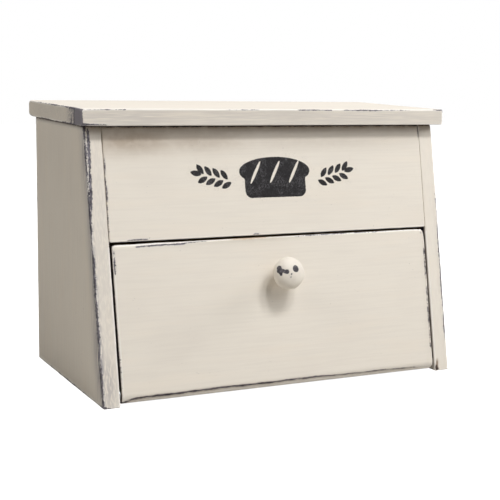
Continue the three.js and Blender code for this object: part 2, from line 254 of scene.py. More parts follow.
def finishSurface(tree, height, strength, deepMm, inputs):
    # closes a material: one shader, its light bent by a height of deepMm, led to the output
    bump = addNode(tree, "Bump", {"Strength": strength, "Distance": deepMm * mm, "Height": height})
    shader = addNode(tree, "BsdfPrincipled", {"Normal": bump, **inputs})
    addNode(tree, "OutputMaterial", {0: shader})


def grainNoise(tree, place, widthMm, stretch, axis, detail=3.0, roughness=0.55):
    # noise whose blobs are widthMm across and stretch times as long along the board's grain
    scale = [1.0, 1.0, 1.0]
    scale[axis] = 1.0 / stretch
    drawn = addNode(tree, "Mapping", {"Vector": place, "Scale": scale})
    return addNode(tree, "TexNoise", {
        "Vector": drawn, "Scale": 1.0 / (widthMm * mm), "Detail": detail, "Roughness": roughness})


pine = {
    "ringMm": 6.5,               # between growth rings where they meet the face
    "ringWander": 7.5,           # how far the rings stray from even circles
    "ringStretch": 0.09,         # and how little they change along the board
    "heartMm": (43.0, 61.0, 52.0),  # from the board's middle to the heart of the tree
    "fibreMm": 0.9,              # fibres are finer, and are drawn this coarse so that they show
    "early": "#E0BE90",          # pale wood of spring
    "late": "#B9864F",           # dark line of late summer
    "aged": "#CDA06A",           # the whole board yellows unevenly
    "pore": "#7A4A28",
}


def pineWood(tree, place, axis):
    # planed Scots pine: rings round a far-off heart that wander along the board, and darker fibres
    scale = [1.0, 1.0, 1.0]
    scale[axis] = pine["ringStretch"]
    shift = [away * mm for away in pine["heartMm"]]
    shift[axis] = 0.0
    heart = addNode(tree, "Mapping", {"Vector": place, "Location": shift, "Scale": scale})
    # a wave of this node is 20 / scale long, in radians
    rings = addNode(tree, "TexWave", {
        "Vector": heart, "Scale": 2 * math.pi / (20 * pine["ringMm"] * mm), "Distortion": pine["ringWander"],
        "Detail": 2.0, "Detail Scale": 0.55, "Detail Roughness": 0.45},
        output="Fac", wave_type="RINGS", rings_direction="XYZ"[axis])
    broad = grainNoise(tree, place, 38.0, 6.0, axis, 1.0)
    clouds = grainNoise(tree, place, 45.0, 3.0, axis, 2.0)
    fibres = grainNoise(tree, place, pine["fibreMm"], 34.0, axis)
    uneven = addNode(tree, "MapRange", {0: broad, 1: 0.32, 2: 0.66, 3: 0.3}, **eased)
    late = addNode(tree, "MapRange", {0: rings, 1: 0.45}, **eased)
    late = addNode(tree, "Math", {0: late, 1: uneven}, operation="MULTIPLY")
    yellowed = addNode(tree, "MapRange", {0: clouds, 1: 0.35, 2: 0.75, 4: 0.55}, **eased)
    darkened = addNode(tree, "MapRange", {0: fibres, 1: 0.42, 2: 0.78, 4: 0.28}, **eased)
    colour = linearColour(pine["early"])
    for share, over in ((late, "late"), (yellowed, "aged"), (darkened, "pore")):
        colour = addNode(tree, "Mix", {0: share, 6: colour, 7: linearColour(pine[over])}, **inColour)
    height = addNode(tree, "Math", {0: fibres, 1: 0.8}, operation="MULTIPLY")
    height = addNode(tree, "Math", {0: late, 1: 0.5, 2: height}, operation="MULTIPLY_ADD")
    return colour, height


chalk = {
    "paint": "#E5DED3",          # off-white chalk paint, flat and slightly warm
    "paintThin": "#DAD2C8",      # where the brush dragged it thin over the undercoat
    "paintWarm": "#E7DED1",
    "undercoat": "#45424A",      # charcoal with a violet cast
    "undercoatWorn": "#8E8A92",
    "edgeHighlight": "#FBF7F1",        # a painted highlight along an arris, whiter than the paint
    "dustAndShade": "#8B6C41",          # brown, for dust and for painted shade in gaps, splits and under the overhang
    "roughness": (0.62, 0.78),
    "coarseRagMm": 4.42,         # how far the sanded edge of the paint wanders, broadly and finely
    "fineRagMm": 5.98,
    # each pattern's width in mm, how many times longer it runs along the board, and its detail
    "patterns": {
        "strokes": (2.6, 26.0, 4.0),   # brush hairs are finer, and are drawn this coarse so that they show
        "broad": (14.0, 7.0, 2.0),     # the brush itself
        "clouds": (60.0, 1.6, 2.0),
        "specks": (1.1, 1.6, 1.0),
        "patches": (26.0, 1.0, 1.0),
        "coarseRag": (7.0, 1.5, 2.0),
        "fineRag": (1.4, 1.2, 2.0),
        "streaks": (1.6, 22.0, 2.0),
        "scuffs": (1.2, 6.0, 3.0),
    },
}

stencil = {
    "black": "#1B191B",          # stencil paint dabbed on with a nearly dry brush
    "starved": "#4E4C4F",
    "haze": "#7C7773",
    "dabMm": 1.3,
    "ragMm": 1.3,                # how far the dabs move the cut edge
    "mottleMm": 11.0,
    "hazeMm": 11.0,              # how far stray paint reaches round the cut
}


def stencilOver(tree, place, axis, paint):
    # the dabbed design on the paint: solid where designMm is below zero, starved where the brush ran dry, and
    # a faint haze of stray dabs round it
    design = addNode(tree, "Attribute", output="Fac", attribute_name="designMm")
    dabs = grainNoise(tree, place, stencil["dabMm"], 1.0, axis, 3.0, 0.65)
    mottle = grainNoise(tree, place, stencil["mottleMm"], 1.0, axis, 2.0)
    edge = addNode(tree, "Math", {0: dabs, 1: 0.5}, operation="SUBTRACT")
    edge = addNode(tree, "Math", {0: edge, 1: stencil["ragMm"], 2: design}, operation="MULTIPLY_ADD")
    # eased steps: what is read, from where to where, and between which two values
    step = {key: addNode(tree, "MapRange", {0: value, 1: low, 2: high, 3: least, 4: most}, **eased)
            for key, (value, low, high, least, most) in {
                "inked": (edge, 0.2, -0.2, 0.0, 1.0),
                "dry": (dabs, 0.44, 0.62, 0.0, 1.0),
                "dryPatch": (mottle, 0.4, 0.62, 0.15, 0.9),
                "stray": (dabs, 0.5, 0.72, 0.0, 1.0),
                "strayPatch": (mottle, 0.42, 0.62, 0.0, 1.0),
                "around": (design, stencil["hazeMm"], 0.5, 0.0, 0.34)}.items()}
    starved = addNode(tree, "Math", {0: step["dry"], 1: step["dryPatch"]}, operation="MULTIPLY")
    haze = addNode(tree, "Math", {0: step["stray"], 1: step["around"]}, operation="MULTIPLY")
    haze = addNode(tree, "Math", {0: haze, 1: step["strayPatch"]}, operation="MULTIPLY")
    black, dry, stray = (linearColour(stencil[key]) for key in ("black", "starved", "haze"))
    ink = addNode(tree, "Mix", {0: starved, 6: black, 7: dry}, **inColour)
    paint = addNode(tree, "Mix", {0: haze, 6: paint, 7: stray}, **inColour)
    return addNode(tree, "Mix", {0: step["inked"], 6: paint, 7: ink}, **inColour)


def chalkPaint(name, axis, stencilled=False):
    # Chalk paint over a charcoal undercoat on pine. The point values on the mesh say where it has gone:
    # rubMm is how far inside the sanded band a point is, bareMm the same for bare wood, coverMm how far
    # inside the painted part of the board. Each is roughened by noise, as much as ragShare says, and cut
    # off sharply, so that the eye sees ragged paint edges with brush strokes along the board between them.
    # smudge is a grey haze where the sanding block only just cut through; the brown dust value is also
    # painted shade, in the gaps and under the overhang; and arrisMm is the distance from the nearest arris,
    # along which a painted highlight lies.
    material, tree = newMaterial(name)
    place = addNode(tree, "TexCoord", output="Object")
    at = {key: addNode(tree, "Attribute", output="Fac", attribute_name=key)
          for key in ("rubMm", "bareMm", "coverMm", "ragShare", "smudge", "dustAndShade", "arrisMm")}
    noise = {key: grainNoise(tree, place, widthMm, stretch, axis, detail)
             for key, (widthMm, stretch, detail) in chalk["patterns"].items()}

    # the white coat, with a painted highlight near each arris: each row is what shows the colour, from where
    # to where, and how plainly
    paint = linearColour(chalk["paint"])
    for value, low, high, most, over in ((noise["strokes"], 0.38, 0.7, 0.3, "paintThin"),
                                         (noise["broad"], 0.45, 0.75, 0.5, "paintWarm"),
                                         (noise["clouds"], 0.5, 0.8, 0.3, "paintThin"),
                                         (at["arrisMm"], 2.8, 0.8, 0.65, "edgeHighlight")):
        share = addNode(tree, "MapRange", {0: value, 1: low, 2: high, 4: most}, **eased)
        paint = addNode(tree, "Mix", {0: share, 6: paint, 7: linearColour(chalk[over])}, **inColour)
    if stencilled:
        paint = stencilOver(tree, place, axis, paint)

    # how far the noise moves a paint edge, in mm, and the three edges that it moves
    rag = 0.0
    for key in ("fineRag", "coarseRag"):
        swing = addNode(tree, "Math", {0: noise[key], 1: 0.5}, operation="SUBTRACT")
        rag = addNode(tree, "Math", {0: swing, 1: chalk[f"{key}Mm"], 2: rag}, operation="MULTIPLY_ADD")
    rag = addNode(tree, "Math", {0: rag, 1: at["ragShare"]}, operation="MULTIPLY")
    rubEdge = addNode(tree, "Math", {0: at["rubMm"], 1: rag}, operation="ADD")
    bareEdge = addNode(tree, "Math", {0: at["bareMm"], 1: rag}, operation="ADD")
    coverEdge = addNode(tree, "Math", {0: rag, 1: 1.6, 2: at["coverMm"]}, operation="MULTIPLY_ADD")

    # eased steps up from 0: what is read, from where to where, and how high
    step = {key: addNode(tree, "MapRange", {0: value, 1: low, 2: high, 4: most}, **eased)
            for key, (value, low, high, most) in {
                "rubbed": (rubEdge, -0.12, 0.22, 1.0),
                "thinned": (rubEdge, -1.8, 0.2, 0.2),      # next to a sanded band
                "bare": (bareEdge, -0.3, 0.5, 0.55),       # paint stays in the pores
                "painted": (coverEdge, -0.3, 0.3, 1.0),
                "specks": (noise["specks"], 0.735, 0.77, 1.0),
                "patches": (noise["patches"], 0.56, 0.66, 0.55),
                "streaks": (noise["streaks"], 0.3, 0.6, 1.0),
                "scuffs": (noise["scuffs"], 0.36, 0.66, 0.9),
                "arrisHighlight": (at["rubMm"], 2.3, 3.6, 0.9)}.items()}
    # specks where the undercoat was raised and has been knocked through, streaky smudges, and the undercoat
    # scuffed pale, and paler still deep inside a sanded band, which is a painted highlight along the arris
    specked = addNode(tree, "Math", {0: step["specks"], 1: step["patches"]}, operation="MULTIPLY")
    rubbed = addNode(tree, "Math", {0: step["rubbed"], 1: specked}, operation="MAXIMUM")
    smudged = addNode(tree, "Math", {0: at["smudge"], 1: step["streaks"]}, operation="MULTIPLY")
    wornThin = addNode(tree, "Math", {0: step["thinned"], 1: smudged}, operation="MAXIMUM")
    scuffed = addNode(tree, "Math", {0: step["scuffs"], 1: step["arrisHighlight"]}, operation="MAXIMUM")
    worn = linearColour(chalk["undercoatWorn"])
    undercoat = addNode(tree, "Mix", {0: scuffed, 6: linearColour(chalk["undercoat"]), 7: worn}, **inColour)
    wood, woodHeight = pineWood(tree, place, axis)

    # the coats in turn, bare wood where none reached, and brown dust and painted shade over all
    colour = paint
    for share, over in ((wornThin, worn), (rubbed, undercoat), (step["bare"], wood)):
        colour = addNode(tree, "Mix", {0: share, 6: colour, 7: over}, **inColour)
    colour = addNode(tree, "Mix", {0: step["painted"], 6: wood, 7: colour}, **inColour)
    dustShadeShare = addNode(tree, "MapRange", {0: noise["coarseRag"], 1: 0.3, 2: 0.6, 3: 0.8}, **eased)
    dustShadeShare = addNode(tree, "Math", {0: at["dustAndShade"], 1: dustShadeShare}, operation="MULTIPLY")
    colour = addNode(tree, "Mix", {0: dustShadeShare, 6: colour, 7: linearColour(chalk["dustAndShade"])},
                     blend_type="MULTIPLY", **inColour)

    # the paint is about a tenth of a millimetre thick, so that much is lost where it has gone
    kept = addNode(tree, "Math", {0: 1.0, 1: rubbed}, operation="SUBTRACT")
    kept = addNode(tree, "Math", {0: step["painted"], 1: kept}, operation="MULTIPLY")
    height = addNode(tree, "Math", {0: noise["strokes"], 1: 0.9}, operation="MULTIPLY")
    height = addNode(tree, "Math", {0: kept, 1: height}, operation="ADD")
    height = addNode(tree, "Math", {0: woodHeight, 1: 0.25, 2: height}, operation="MULTIPLY_ADD")
    smoothest, roughest = chalk["roughness"]
    roughness = addNode(tree, "MapRange", {
        0: noise["strokes"], 1: 0.3, 2: 0.8, 3: smoothest, 4: roughest}, **eased)
    finishSurface(tree, height, 0.55, 0.12, {
        "Base Color": colour, "Roughness": roughness, "IOR": 1.5, "Specular IOR Level": 0.28})
    return material


def barePine(name, axis):
    # planed pine with nothing on it: dry and open, so that light catches the fibres
    material, tree = newMaterial(name)
    place = addNode(tree, "TexCoord", output="Object")
    colour, height = pineWood(tree, place, axis)
    roughness = addNode(tree, "MapRange", {0: height, 1: 0.0, 2: 1.2, 3: 0.58, 4: 0.74}, **eased)
    finishSurface(tree, height, 0.5, 0.12, {
        "Base Color": colour, "Roughness": roughness, "IOR": 1.5, "Specular IOR Level": 0.35})
    return material


knobCoats = {"undercoat": "#403D42", "undercoatWorn": "#6C696E", "ragMm": 1.1}


def knobPaint(name):
    # the same two paints on turned birch, handled smooth: chipMm is how far inside a chip a point is
    material, tree = newMaterial(name)
    place = addNode(tree, "TexCoord", output="Object")
    chip = addNode(tree, "Attribute", output="Fac", attribute_name="chipMm")
    strokes = grainNoise(tree, place, 2.0, 4.0, 0, 3.0)
    clouds = grainNoise(tree, place, 12.0, 1.0, 0, 2.0)
    fine = grainNoise(tree, place, 1.1, 1.0, 0, 2.0)
    edge = addNode(tree, "Math", {0: fine, 1: 0.5}, operation="SUBTRACT")
    edge = addNode(tree, "Math", {0: edge, 1: knobCoats["ragMm"], 2: chip}, operation="MULTIPLY_ADD")
    thin = addNode(tree, "MapRange", {0: clouds, 1: 0.4, 2: 0.7, 4: 0.5}, **eased)
    chipped = addNode(tree, "MapRange", {0: edge, 1: -0.12, 2: 0.18}, **eased)
    halo = addNode(tree, "MapRange", {0: edge, 1: -1.4, 2: 0.0, 4: 0.12}, **eased)
    scuffed = addNode(tree, "MapRange", {0: strokes, 1: 0.45, 2: 0.7}, **eased)
    undercoat = addNode(tree, "Mix", {
        0: scuffed, 6: linearColour(knobCoats["undercoat"]), 7: linearColour(knobCoats["undercoatWorn"])},
        **inColour)
    dragged = linearColour(chalk["paintThin"])
    worn = linearColour(chalk["undercoatWorn"])
    colour = linearColour(chalk["paint"])
    for share, over in ((thin, dragged), (halo, worn), (chipped, undercoat)):
        colour = addNode(tree, "Mix", {0: share, 6: colour, 7: over}, **inColour)
    height = addNode(tree, "Math", {0: strokes, 1: 0.4}, operation="MULTIPLY")
    height = addNode(tree, "Math", {0: height, 1: chipped}, operation="SUBTRACT")
    roughness = addNode(tree, "MapRange", {0: strokes, 1: 0.3, 2: 0.8, 3: 0.5, 4: 0.6}, **eased)
    finishSurface(tree, height, 0.5, 0.15, {
        "Base Color": colour, "Roughness": roughness, "IOR": 1.5, "Specular IOR Level": 0.35})
    return material


def dulledSteel(name, bright, dull, roughness, streakAxis):
    # steel sheet or wire: cold grey, cloudy where the plating or the drawing oil has dulled
    material, tree = newMaterial(name)
    place = addNode(tree, "TexCoord", output="Object")
    clouds = grainNoise(tree, place, 2.4, 1.0, streakAxis, 3.0)
    streaks = grainNoise(tree, place, 0.25, 16.0, streakAxis, 2.0)
    share = addNode(tree, "MapRange", {0: clouds, 1: 0.4, 2: 0.7}, **eased)
    colour = addNode(tree, "Mix", {0: share, 6: linearColour(bright), 7: linearColour(dull)}, **inColour)
    worn = addNode(tree, "MapRange", {
        0: clouds, 1: 0.3, 2: 0.8, 3: roughness - 0.06, 4: roughness + 0.14}, **eased)
    finishSurface(tree, streaks, 0.3, 0.02, {"Base Color": colour, "Metallic": 1.0, "Roughness": worn})
    return material


paintAcross = chalkPaint("chalk_paint_over_charcoal_on_pine_across", 0)
paintUpright = chalkPaint("chalk_paint_over_charcoal_on_pine_upright", 2)
paintStencilled = chalkPaint("chalk_paint_with_black_stencil", 0, stencilled=True)
pineAcross = barePine("planed_bare_pine", 0)
knobFinish = knobPaint("chalk_paint_on_turned_birch")
zincSteel = dulledSteel("zinc_plated_steel", "#C3C6C9", "#9A9DA1", 0.34, 0)
wireSteel = dulledSteel("drawn_steel_wire", "#A9A9AB", "#7D7B7A", 0.38, 0)
print("materials made")


def boardRows(low, high, thin, dense=((), (), ())):
    # rows for the three axes; thin is the axis across the thickness
    steps = [boardGrid["step"]] * 3
    steps[thin] = boardGrid["thicknessStep"]
    return [gridLines(low[a], high[a], steps[a], dense[a]) for a in range(3)]


def wearFields(board, facts):
    # the values that the paint reads: each band is as deep as its spots say, less the distance in from the
    # nearest arris
    rub = spotField(board["flat"], facts["rub"], facts["rubBase"]) - board["edgeGap"]
    bare = spotField(board["flat"], facts.get("bare", ()), -6.0) - board["edgeGap"]
    smudge = spotField(board["flat"], facts.get("smudge", ()), 0.0)
    dustAndShade = spotField(board["flat"], facts.get("dustAndShade", ()), 0.0)
    return {"rubMm": rub, "bareMm": bare, "smudge": smudge, "dustAndShade": dustAndShade, "arrisMm": board["edgeGap"],
            "ragShare": np.ones(len(rub))}


def addWorn(fields, worn, rag):
    # joins a worn shape to the sanded bands, with its own raggedness where it lies deeper than they do
    fields["ragShare"] = np.where(worn > fields["rubMm"], rag, fields["ragShare"])
    fields["rubMm"] = np.maximum(fields["rubMm"], np.maximum(worn, noWear))


def overhangShade(downMm, reachMm):
    # painted shade, thickest in the corner under the overhang, gone reachMm below it: (1 - down / reach)^1.6
    return np.clip(1.0 - downMm / reachMm, 0.0, 1.0) ** 1.6


# the two sides, their blocks measured (x, back from the front edge, z) before the front is sloped
sideFacts = {
    "ease": 1.6,
    "rubBase": -1.5,
    "paintedInMm": 9.0,   # how far the brush reached in past the front edge
    "outerShare": 0.42,   # a painted shade line under the overhang: undercoat this far down from the top
    "shadeLineMm": 1.3,      # under the overhang, where the white brush did not reach
    "shadeMm": 9.5,       # how far the painted shade reaches down from the overhang, on the front edge
    "outerShadeMm": 3.5,  # and on the outer face
    "footFrom": 15.0,     # the painted shade in the gap starts further in under the door, from here down
    "footTo": 5.0,
    "footMm": 9.0,
    "footGap": 2.5,       # how far it came round under the foot
    "shearEnds": 22.0,    # the slope of the front is blended into the block from here in
    "panelFoot": 163.0,   # above this the side meets the panel
    "left": {
        "seed": 11,
        "gapMm": 1.6,     # facing the door, past which the undercoat shows, as painted shade in the gap
        "round": [((-216, 0, 280), (5, 5, 26), 2.6), ((-216, 0, 230), (5, 5, 40), 2.2)],
        "rub": [((-216, 0, 282), (7, 7, 12), 2.4), ((-216, 0, 255), (7, 7, 34), 1.5),
                ((-216, 0, 196), (7, 7, 30), 2.6), ((-216, 0, 140), (7, 7, 40), 1.8),
                ((-216, 0, 80), (7, 7, 44), 1.4), ((-216, 0, 26), (7, 7, 30), 2.0),
                ((-216, 0, 1), (9, 9, 7), 2.6), ((-216, 120, 0), (5, 130, 5), 1.0),
                ((-216, 235, 210), (6, 6, 40), 0.9), ((-216, 235, 60), (6, 6, 60), 1.3)],
        "smudge": [((-216, 3, 130), (4, 10, 90), 0.8), ((-216, 3, 50), (4, 14, 56), 1.1),
                   ((-208, 0, 24), (8, 2, 30), 0.5), ((-216, 3, 250), (3, 12, 50), 0.7),
                   ((-205, 0, 150), (14, 3, 160), 0.16)],
        # streaks on the front edge, as (x, height) runs, and on the outer face, as (back, height) runs
        "front": [(-212.0, 285.0, -212.4, 242.0, 1.7, 0.3), (-212.4, 250.0, -213.8, 200.0, 1.4, 0.2)],
        "outer": [(3.4, 120.0, 3.0, 62.0, 0.9, 0.4), (3.2, 70.0, 3.6, 6.0, 1.3, 0.3),
                  (4.6, 52.0, 5.4, 16.0, 0.7, 0.3)],
    },
    "right": {
        "seed": 12,
        "gapMm": 3.4,
        "round": [((216, 0, 284), (6, 6, 8), 3.0)],
        "rub": [((216, 0, 196), (6, 6, 20), 1.8), ((216, 0, 150), (6, 6, 30), 3.6),
                ((216, 0, 100), (6, 6, 34), 4.2), ((216, 0, 56), (6, 6, 26), 3.6),
                ((216, 120, 0), (5, 130, 5), 0.7), ((216, 235, 120), (6, 6, 90), 1.1),
                ((216, 235, 8), (6, 9, 14), 2.4), ((216, 235, 270), (6, 6, 22), 1.6)],
        "smudge": [((216, 0, 120), (4, 12, 90), 0.4)],
        # a split at the foot
        "front": [(199.6, 1.0, 199.2, 8.0, 1.2, 0.3), (199.4, 6.0, 201.4, 10.0, 1.0, 0.5),
                  (200.8, 9.0, 199.6, 14.0, 0.7, 0.4), (202.0, 2.0, 200.4, 5.0, 0.6, 0.2)],
        "outer": [(3.0, 200.0, 3.0, 180.0, 0.6, 0.2)],
    },
}


def makeSide(hand, sign):
    low, high = boxMm(f"{hand}_side")
    depth = high[1] - low[1]
    blockLow = np.array([low[0], 0.0, low[2]])
    blockHigh = np.array([high[0], depth, high[2]])
    common = sideFacts
    facts = {"rubBase": common["rubBase"], **common[hand]}
    rows = boardRows(blockLow, blockHigh, 0)
    board = roundedBoard(blockLow, blockHigh, rows, common["ease"], facts["round"], facts["seed"])
    flat = board["flat"]
    out = board["out"]
    # the front is sheared back by the lean, and the shear dies away towards the straight back edge
    solid = board["solid"].copy()
    shear = solid[:, 2] * lean["run"] / lean["rise"]
    fade = 1.0 - smoothStep(solid[:, 1], common["shearEnds"], depth - common["shearEnds"])
    solid[:, 1] = low[1] + solid[:, 1] + shear * fade

    inner = sign * out[:, 0] < -squarely
    outer = sign * out[:, 0] > squarely
    under = out[:, 2] < -squarely
    front = out[:, 1] < -0.6
    board["edgeGap"] = np.where(outer, board["edgeGap"] * common["outerShare"], board["edgeGap"])
    fields = wearFields(board, facts)
    # painted shade: undercoat on the face in the gap beside the door, and a dark undercoat line under the
    # overhang
    paintedFoot = common["footMm"] * smoothStep(-flat[:, 2], -common["footFrom"], -common["footTo"])
    gapShadeMm = np.where(inner, flat[:, 1] - facts["gapMm"] - paintedFoot, noWear)
    shadeLine = np.where(inner, noWear, flat[:, 2] - (high[2] - common["shadeLineMm"]))
    shadeLine = np.maximum(gapShadeMm, shadeLine)
    streaks = np.where(front, strokeField(flat[:, [0, 2]], facts["front"]), noWear)
    streaks = np.where(outer, strokeField(flat[:, [1, 2]], facts["outer"]), streaks)
    addWorn(fields, np.maximum(shadeLine, streaks), np.where(shadeLine > fields["rubMm"], 0.4, 0.6))
    # painted shade in the gap beside the door and in the corner under the overhang, and darker brown in the
    # right side's split
    reach = np.where(out[:, 1] < -0.3, common["shadeMm"], common["outerShadeMm"])
    dustShadeShare = overhangShade(high[2] - flat[:, 2], reach)
    dustShadeShare = np.where(inner, 0.6 * smoothStep(gapShadeMm, -1.0, 1.0), dustShadeShare)
    # the split is darker brown inside
    splitDarkening = 0.9 * smoothStep(streaks, -0.8, 0.2) if hand == "right" else 0.0
    fields["dustAndShade"] = np.maximum(dustShadeShare, splitDarkening)
    # no painted highlight where the side meets the panel
    meets = (sign * flat[:, 0] < sign * (low[0] + high[0]) / 2) & (flat[:, 2] > common["panelFoot"])
    fields["arrisMm"] = np.where(meets, -noWear, fields["arrisMm"])
    cover = np.where(inner, common["paintedInMm"] - flat[:, 1], wellPainted)
    fields["coverMm"] = np.where(under, common["footGap"] - board["edgeGap"], cover)
    return makePiece(f"{hand}_side_board", solid * mm, board["quads"], paintUpright, "case",
                     [f"{hand}_side"], fields)


makeSide("left", -1)
makeSide("right", 1)

# the top, measured (x, y, z): its front left corner has been knocked and sanded right through
topFacts = {
    "ease": 1.5,
    "rubBase": -1.7,
    "round": [((-223, -69.5, 297), (8, 8, 30), 3.2), ((223, -69.5, 297), (6, 6, 30), 2.0),
              ((-223, 123.5, 297), (10, 10, 30), 4.4)],
    "rub": [((-223, -69.5, 297), (3.4, 3.4, 16), 2.6), ((-223, -69.5, 288), (8, 5, 6), 3.4),
            ((-223, -40, 306), (4, 40, 4), 2.2), ((-223, 20, 306), (4, 40, 4), 1.2),
            ((-223, 75, 306), (4, 20, 4), 0.5), ((-223, 112, 288), (6, 14, 12), 1.2),
            ((-223, 55, 288), (4, 40, 4), 1.3), ((-223, -20, 288), (4, 50, 4), 1.5),
            ((223, 30, 306), (4, 60, 4), 1.0), ((223, 60, 288), (4, 70, 4), 0.9),
            ((0, 123.5, 306), (200, 4, 4), 0.4), ((-150, 123.5, 306), (40, 4, 4), 1.6),
            ((90, 123.5, 306), (60, 4, 4), 1.2), ((223, 123.5, 297), (7, 7, 12), 2.2),
            ((40, 123.5, 288), (70, 4, 4), 1.1), ((218, -69.5, 306), (9, 4, 4), 1.9)],
    # streaks on the front edge, as (x, height) runs
    "streaks": [(-223.0, 290.5, -192.0, 288.9, 1.2, -0.6), (-221.2, 289.0, -222.0, 304.0, 1.1, 0.5),
                (-220.0, 304.9, -172.0, 304.9, 0.55, 0.0), (26.0, 305.2, 68.0, 304.8, 0.8, 0.1),
                (46.0, 305.0, 74.0, 304.8, 0.85, 0.2), (84.0, 305.0, 132.0, 304.7, 0.85, 0.2),
                (126.0, 305.0, 176.0, 305.1, 0.5, 0.1), (-60.0, 305.2, -20.0, 305.2, 0.35, 0.0)],
    # streaks on the left end, as (y, height) runs: the knocked corner is one broad one
    "endStreaks": [(-64.0, 282.0, -62.0, 312.0, 18.0, 0.0), (-38.0, 289.0, -32.0, 305.0, 1.6, 0.8)],
    "smudge": [((-223, -42, 297), (3, 17, 30), 0.95), ((-223, 20, 297), (3, 90, 12), 0.16),
               ((0, -69.5, 297), (400, 3, 12), 0.2), ((-170, -69.5, 297), (90, 3, 12), 0.27)],
    "underShadeMm": 1.2,   # past this the underside of the overhang is dark undercoat, as painted shade
}


def makeTop():
    low, high = boxMm("top_board")
    board = roundedBoard(low, high, boardRows(low, high, 2), topFacts["ease"], topFacts["round"], 21)
    flat = board["flat"]
    out = board["out"]
    fields = wearFields(board, topFacts)
    streaks = np.where(out[:, 1] < -0.35, strokeField(flat[:, [0, 2]], topFacts["streaks"]), noWear)
    streaks = np.where(out[:, 0] < -0.6, strokeField(flat[:, [1, 2]], topFacts["endStreaks"]), streaks)
    under = out[:, 2] < -squarely
    # dark undercoat under the overhang: painted shade
    streaks = np.where(under, board["edgeGap"] - topFacts["underShadeMm"], streaks)
    addWorn(fields, streaks, 0.35)
    # under the board the undercoat stops at the walls of the case, so the lid of the compartment stays bare
    panelBack = boxMm("upper_front_panel")[1][1]
    wallBack = boxMm("back_board")[0][1]
    wallSide = boxMm("right_side")[0][0]
    sideways = wallSide - np.abs(flat[:, 0])
    insideBy = np.minimum.reduce([flat[:, 1] - panelBack, wallBack - flat[:, 1], sideways])
    fields["coverMm"] = np.where(under, -insideBy, wellPainted)
    return makePiece("lid_board", board["solid"] * mm, board["quads"], paintAcross, "case",
                     ["top_board"], fields)


makeTop()

backFacts = {
    "ease": 1.4,
    "rubBase": -1.4,
    "rub": [((-197, 117.5, 150), (4, 5, 120), 0.4), ((197, 117.5, 90), (4, 5, 90), 0.6),
            ((0, 117.5, 0), (160, 5, 5), 1.2)],
    "footGap": 2.5,   # how far the brush came round under the foot
}


def makeBack():
    low, high = boxMm("back_board")
    board = roundedBoard(low, high, boardRows(low, high, 1), backFacts["ease"], (), 31)
    fields = wearFields(board, backFacts)
    out = board["out"]
    cover = np.where(out[:, 1] > -0.5, wellPainted, -wellPainted)   # bare towards the inside
    fields["coverMm"] = np.where(out[:, 2] < -squarely, backFacts["footGap"] - board["edgeGap"], cover)
    return makePiece("back_wall", board["solid"] * mm, board["quads"], paintAcross, "case",
                     ["back_board"], fields)


makeBack()

bareFacts = {"ease": 1.2}


def makeBarePineBoard(name, node, thin, seed, leaning=False):
    low, high = boxMm(node, leaning)
    board = roundedBoard(low, high, boardRows(low, high, thin), bareFacts["ease"], (), seed)
    solid = fromFront(board["solid"] * mm) if leaning else board["solid"] * mm
    return makePiece(name, solid, board["quads"], pineAcross, "case", [node])


makeBarePineBoard("floor_board", "bottom_board", 2, 41)
makeBarePineBoard("stop_rail", "door_stop_rail", 1, 42, leaning=True)
print("case boards made")


# a loaf between two ears of wheat, drawn as the signed distance, in millimetres, to the cut of the stencil
motif = {
    "centreX": 1.5,
    "centreUp": 236.0,      # up the slope of the front
    "loafWidth": 88.0,
    "loafHeight": 45.0,
    "bodyRound": 8.0,
    "slashes": [-24.0, 0.0, 24.0],   # the bridges across the loaf, where its crust is scored
    "slashLean": 0.5,
    "slashWidth": 3.4,
    "earFrom": 50.0,        # from the middle to the foot of an ear
    "earTo": 102.0,
    "earRise": 9.0,         # an ear's tip over its foot
    "grains": 4,
    "grainLength": 13.5,
    "grainWidth": 6.0,
    "grainLean": 0.72,      # of a grain from the stalk, in radians
    "firstGrain": 4.0,      # from the foot of an ear
    "bridge": 0.9,          # left standing between the two rows of grains
}


def ellipseDistance(x, y, halfWide, halfTall):
    # about the distance to an ellipse: its level set, divided by the slope of that level set
    level = np.sqrt((x / halfWide) ** 2 + (y / halfTall) ** 2) + 1e-9
    slope = np.sqrt((x / halfWide ** 2) ** 2 + (y / halfTall ** 2) ** 2) / level + 1e-9
    return (level - 1.0) / slope


def leafDistance(x, y, length, width):
    # a grain: where two equal discs overlap, pointed at both ends of its length along x
    radius = (length ** 2 + width ** 2) / (4.0 * width)
    lift = radius - width / 2.0
    return np.hypot(x, np.abs(y) + lift) - radius


def loafDistance(x, y):
    # a round-shouldered tin loaf: a wide flat ellipse for the crown over a softly rounded block for the body,
    # less a slanting ellipse for each slash
    wide = motif["loafWidth"] / 2
    tall = motif["loafHeight"] / 2
    soft = motif["bodyRound"]
    crown = ellipseDistance(x, y - tall * 0.30, wide, tall * 0.70)
    pastSide = np.maximum(np.abs(x) - wide * 0.86 + soft, 0)
    pastEnd = np.maximum(np.abs(y + tall * 0.28) - tall * 0.72 + soft, 0)
    body = np.minimum(crown, np.hypot(pastSide, pastEnd) - soft)
    leanX = math.cos(motif["slashLean"])
    leanY = math.sin(motif["slashLean"])
    for centre in motif["slashes"]:
        along = (x - centre) * leanX - (y - tall * 0.25) * leanY
        across = (x - centre) * leanY + (y - tall * 0.25) * leanX
        body = np.maximum(body, -ellipseDistance(along, across, motif["slashWidth"] / 2, tall * 0.62))
    return body


